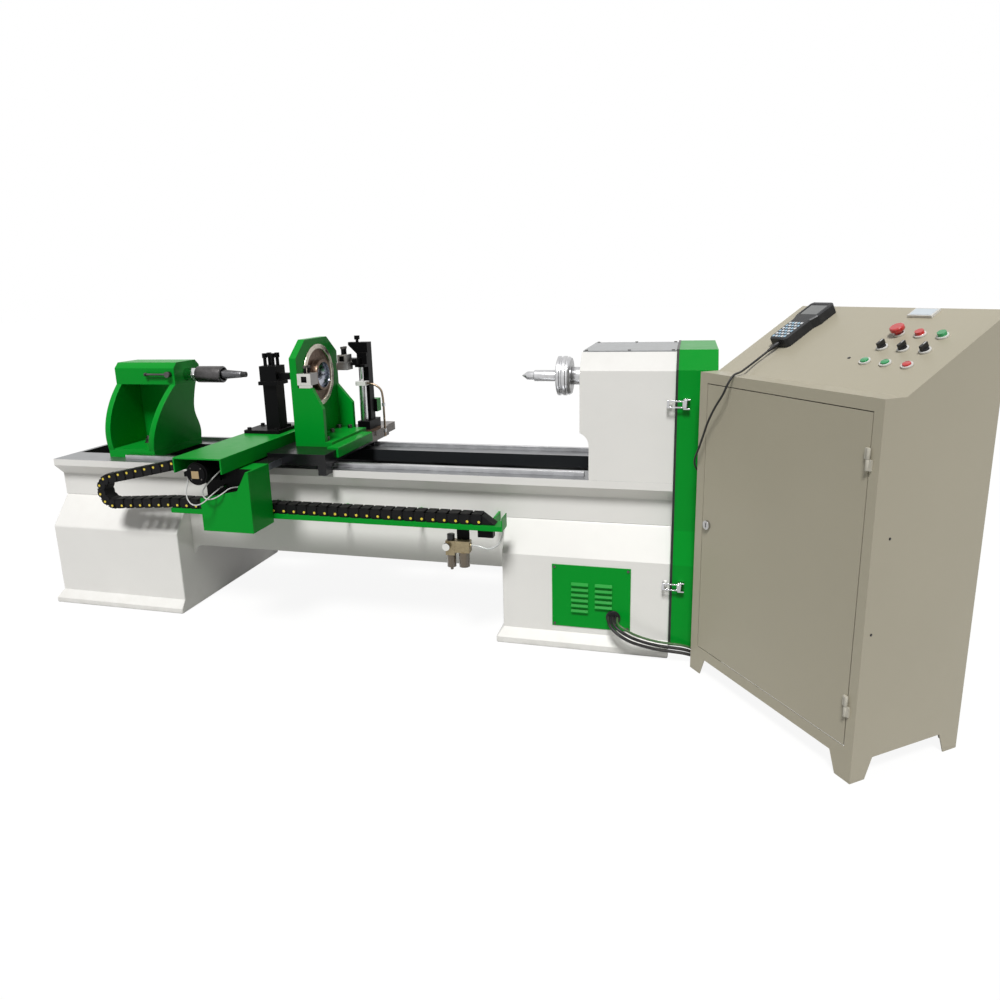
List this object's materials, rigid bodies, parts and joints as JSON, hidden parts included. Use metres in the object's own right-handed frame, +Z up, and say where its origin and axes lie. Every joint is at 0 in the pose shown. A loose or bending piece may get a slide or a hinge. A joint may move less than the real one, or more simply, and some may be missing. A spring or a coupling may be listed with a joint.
{
  "type": "cnc wood lathe",
  "caption": "Long-bed CNC wood turning lathe with headstock, tailstock, tool carriage with steady rest, drag chain and a sloped control cabinet with pendant.",
  "frame": {"origin": "on the floor under the spindle axis, at the centre of the headstock base sill", "axes": "+X along the spindle from tailstock to headstock, +Y to the rear, +Z up"},
  "size_m": [3.6785, 1.4618, 1.3194],
  "materials": {
    "white_paint": "satin",
    "green_paint": "gloss",
    "grey_paint": "satin",
    "cabinet_paint": "satin",
    "black_metal": "satin",
    "bare_steel": "machined",
    "dark_steel": "oiled",
    "chrome_plate": "polished",
    "silver_alloy": "anodised",
    "black_rubber": "matte",
    "black_plastic": "matte",
    "grey_plastic": "matte",
    "pale_plastic": "matte",
    "red_plastic": "gloss",
    "green_plastic": "gloss"
  },
  "bodies": {
    "machine": {"bed": "white_paint", "tail_leg": "white_paint", "headstock_base": "white_paint", "linear_rails": "bare_steel", "gear_rack": "dark_steel", "headstock_housing": "white_paint", "headstock_lid": "grey_paint", "spindle_bearings": "bare_steel", "main_motor": "grey_paint", "drive_belt": "black_rubber", "vent_panel": "green_paint", "cable_glands": "black_plastic", "chain_tray": "green_paint", "drag_chain_lower": "black_plastic", "air_unit": "black_plastic", "cabinet_body": "cabinet_paint", "electrical_panel": "grey_plastic", "panel_fittings": "pale_plastic", "pendant_body": "grey_plastic", "pendant_cord": "black_rubber", "power_cables": "black_rubber"},
    "carriage": {"saddle": "black_metal", "apron": "green_paint", "feed_motor": "black_metal", "cross_motor": "black_metal", "cross_motor_leads": "pale_plastic", "steady_frame": "green_paint", "front_tool_holder": "silver_alloy", "drag_chain_upper": "black_plastic"},
    "pinion": {"pinion": "dark_steel"},
    "chain_loop": {"drag_chain_loop": "black_plastic"},
    "cross_slide": {"slide_cover": "green_paint", "front_tool_post": "black_metal"},
    "steady_ring": {"steady_ring": "bare_steel"},
    "rear_slide": {"rear_post": "black_metal", "rear_cylinder": "silver_alloy"},
    "rear_lift": {"rear_tool_lift": "silver_alloy"},
    "tailstock": {"tailstock_casting": "green_paint", "tailstock_clamp": "dark_steel"},
    "quill": {"quill": "chrome_plate"},
    "live_center": {"live_center": "dark_steel"},
    "quill_lever": {"quill_lever": "bare_steel"},
    "spindle": {"spindle_shaft": "bare_steel", "spindle_pulley": "dark_steel", "faceplate": "dark_steel", "drive_center": "bare_steel"},
    "motor_pulley": {"motor_pulley": "dark_steel"},
    "end_cover": {"end_cover": "green_paint"},
    "latch_upper": {"latch_upper": "chrome_plate"},
    "latch_lower": {"latch_lower": "chrome_plate"},
    "air_knob": {"air_knob": "black_plastic"},
    "cabinet_door": {"cabinet_door": "cabinet_paint"},
    "door_lock": {"door_lock": "chrome_plate"},
    "e_stop": {"e_stop": "red_plastic"},
    "start_button": {"start_button": "green_plastic"},
    "feed_button": {"feed_button": "green_plastic"},
    "halt_button": {"halt_button": "red_plastic"},
    "selector_left": {"selector_left": "black_plastic"},
    "selector_middle": {"selector_middle": "black_plastic"},
    "selector_right": {"selector_right": "black_plastic"}
  },
  "joints": [
    {"name": "carriage_slide", "type": "slide", "parent": "machine", "child": "carriage", "axis": [1, 0, 0], "range_m": [-0.4, 0.85], "deforming": ["drag_chain_lower", "drag_chain_loop", "drag_chain_upper"]},
    {"name": "pinion_spin", "type": "hinge", "parent": "carriage", "child": "pinion", "pos_m": [-1.21734, -0.0756, 0.649], "axis": [0, 0, 1], "range_deg": [-1230, 590]},
    {"name": "chain_loop_slide", "type": "slide", "parent": "carriage", "child": "chain_loop", "axis": [-0.9978, 0, 0.0663], "range_m": [-0.22, 0.44]},
    {"name": "cross_slide_feed", "type": "slide", "parent": "carriage", "child": "cross_slide", "axis": [0, 1, 0], "range_m": [-0.06, 0.09]},
    {"name": "steady_ring_spin", "type": "hinge", "parent": "carriage", "child": "steady_ring", "pos_m": [-1.229, 0, 1.04], "axis": [1, 0, 0], "continuous": true},
    {"name": "rear_slide_feed", "type": "slide", "parent": "carriage", "child": "rear_slide", "axis": [0, 1, 0], "range_m": [-0.035, 0.06]},
    {"name": "rear_tool_lift", "type": "slide", "parent": "rear_slide", "child": "rear_lift", "axis": [0, 0, 1], "range_m": [-0.055, 0]},
    {"name": "tailstock_slide", "type": "slide", "parent": "machine", "child": "tailstock", "axis": [1, 0, 0], "range_m": [-0.22, 0.35]},
    {"name": "quill_slide", "type": "slide", "parent": "tailstock", "child": "quill", "axis": [1, 0, 0], "range_m": [-0.03, 0.08]},
    {"name": "live_center_spin", "type": "hinge", "parent": "quill", "child": "live_center", "pos_m": [-1.7, 0, 1.04], "axis": [1, 0, 0], "continuous": true},
    {"name": "quill_lever_turn", "type": "hinge", "parent": "tailstock", "child": "quill_lever", "pos_m": [-1.915, -0.104, 1.05], "axis": [0, 1, 0], "range_deg": [-60, 20]},
    {"name": "spindle_spin", "type": "hinge", "parent": "machine", "child": "spindle", "pos_m": [0, 0, 1.04], "axis": [1, 0, 0], "continuous": true},
    {"name": "motor_spin", "type": "hinge", "parent": "machine", "child": "motor_pulley", "pos_m": [0.4, 0, 0.23], "axis": [1, 0, 0], "continuous": true},
    {"name": "cover_lift", "type": "slide", "parent": "machine", "child": "end_cover", "axis": [0, 0, 1], "range_m": [0, 0.25]},
    {"name": "latch_upper_turn", "type": "hinge", "parent": "end_cover", "child": "latch_upper", "pos_m": [0.372, -0.296, 0.976], "axis": [0, 0, 1], "range_deg": [0, 75]},
    {"name": "latch_lower_turn", "type": "hinge", "parent": "end_cover", "child": "latch_lower", "pos_m": [0.372, -0.32, 0.292], "axis": [0, 0, 1], "range_deg": [0, 75]},
    {"name": "air_knob_turn", "type": "hinge", "parent": "machine", "child": "air_knob", "pos_m": [-0.494, -0.39, 0.46], "axis": [0, 0, 1], "range_deg": [-180, 180]},
    {"name": "door_hinge", "type": "hinge", "parent": "machine", "child": "cabinet_door", "pos_m": [0.83223, -0.94012, 0.58], "axis": [0, 0, 1], "range_deg": [0, 110]},
    {"name": "door_lock_turn", "type": "hinge", "parent": "cabinet_door", "child": "door_lock", "pos_m": [0.45796, -0.42648, 0.575], "axis": [-0.8026, -0.5965, 0], "range_deg": [0, 90]},
    {"name": "e_stop_press", "type": "slide", "parent": "machine", "child": "e_stop", "axis": [0.4037, 0.3001, -0.8643], "range_m": [0, 0.006], "stiffness_N_per_m": 600, "springref_m": -0.003},
    {"name": "start_button_press", "type": "slide", "parent": "machine", "child": "start_button", "axis": [0.4037, 0.3001, -0.8643], "range_m": [0, 0.004], "stiffness_N_per_m": 500, "springref_m": -0.002},
    {"name": "feed_button_press", "type": "slide", "parent": "machine", "child": "feed_button", "axis": [0.4037, 0.3001, -0.8643], "range_m": [0, 0.004], "stiffness_N_per_m": 500, "springref_m": -0.002},
    {"name": "halt_button_press", "type": "slide", "parent": "machine", "child": "halt_button", "axis": [0.4037, 0.3001, -0.8643], "range_m": [0, 0.004], "stiffness_N_per_m": 500, "springref_m": -0.002},
    {"name": "selector_left_turn", "type": "hinge", "parent": "machine", "child": "selector_left", "pos_m": [0.9131, -0.62771, 1.1991], "axis": [-0.4037, -0.3001, 0.8643], "range_deg": [-45, 45]},
    {"name": "selector_middle_turn", "type": "hinge", "parent": "machine", "child": "selector_middle", "pos_m": [0.95396, -0.68269, 1.1991], "axis": [-0.4037, -0.3001, 0.8643], "range_deg": [-45, 45]},
    {"name": "selector_right_turn", "type": "hinge", "parent": "machine", "child": "selector_right", "pos_m": [0.99482, -0.73767, 1.1991], "axis": [-0.4037, -0.3001, 0.8643], "range_deg": [-45, 45]}
  ],
  "couplings": [
    {"joint": "pinion_spin", "follows": "carriage_slide", "rad_per_m": -25},
    {"joint": "chain_loop_slide", "follows": "carriage_slide", "ratio": 0.5011},
    {"joint": "motor_spin", "follows": "spindle_spin", "ratio": 1.4167}
  ]
}
